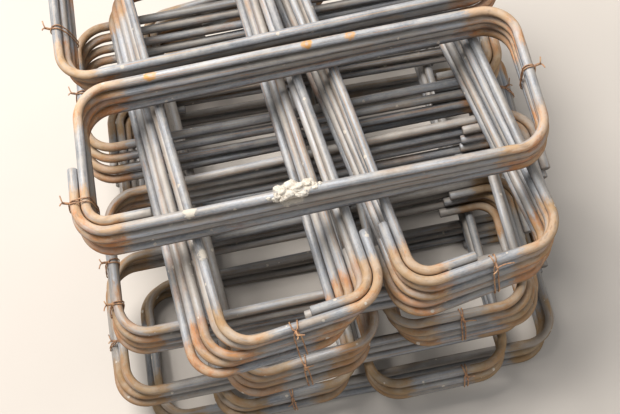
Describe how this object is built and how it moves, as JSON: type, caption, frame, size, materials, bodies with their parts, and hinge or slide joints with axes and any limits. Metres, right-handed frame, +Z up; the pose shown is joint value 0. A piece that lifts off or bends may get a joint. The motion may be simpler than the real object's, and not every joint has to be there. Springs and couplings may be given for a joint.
{
  "type": "rebar bundle",
  "caption": "Criss-cross heap of tied bundles of closed rectangular stirrups, bent from round steel bar, with nested closing hooks, grey mill scale and rusty bends.",
  "frame": {"origin": "on the floor under the middle of the heap's footprint", "axes": "+Z up, +X along the long legs of the top bundles, +Y across them, away from the picture's near side"},
  "size_m": [0.6076, 0.6472, 0.3278],
  "materials": {
    "bar_steel": "hot-rolled round bar with blue-grey mill scale, orange rust at the bends and dust",
    "tie_wire": "annealed soft wire, rusted brown"
  },
  "bodies": {
    "root": {"level_1_front_bundle": "bar_steel", "level_1_rear_bundle": "bar_steel", "level_2_left_bundle": "bar_steel", "level_2_left_ties": "tie_wire", "level_2_right_bundle": "bar_steel", "level_2_right_ties": "tie_wire", "level_3_front_bundle": "bar_steel", "level_3_front_ties": "tie_wire", "level_3_rear_bundle": "bar_steel", "level_3_rear_ties": "tie_wire", "level_4_left_bundle": "bar_steel", "level_4_left_ties": "tie_wire", "level_4_right_bundle": "bar_steel", "level_4_right_ties": "tie_wire", "level_5_front_bundle": "bar_steel", "level_5_front_ties": "tie_wire", "level_5_rear_bundle": "bar_steel", "level_5_rear_ties": "tie_wire", "level_6_left_bundle": "bar_steel", "level_6_left_ties": "tie_wire", "level_6_right_bundle": "bar_steel", "level_6_right_ties": "tie_wire", "level_7_front_bundle": "bar_steel", "level_7_front_ties": "tie_wire", "level_7_rear_bundle": "bar_steel", "level_7_rear_ties": "tie_wire"}
  },
  "joints": []
}
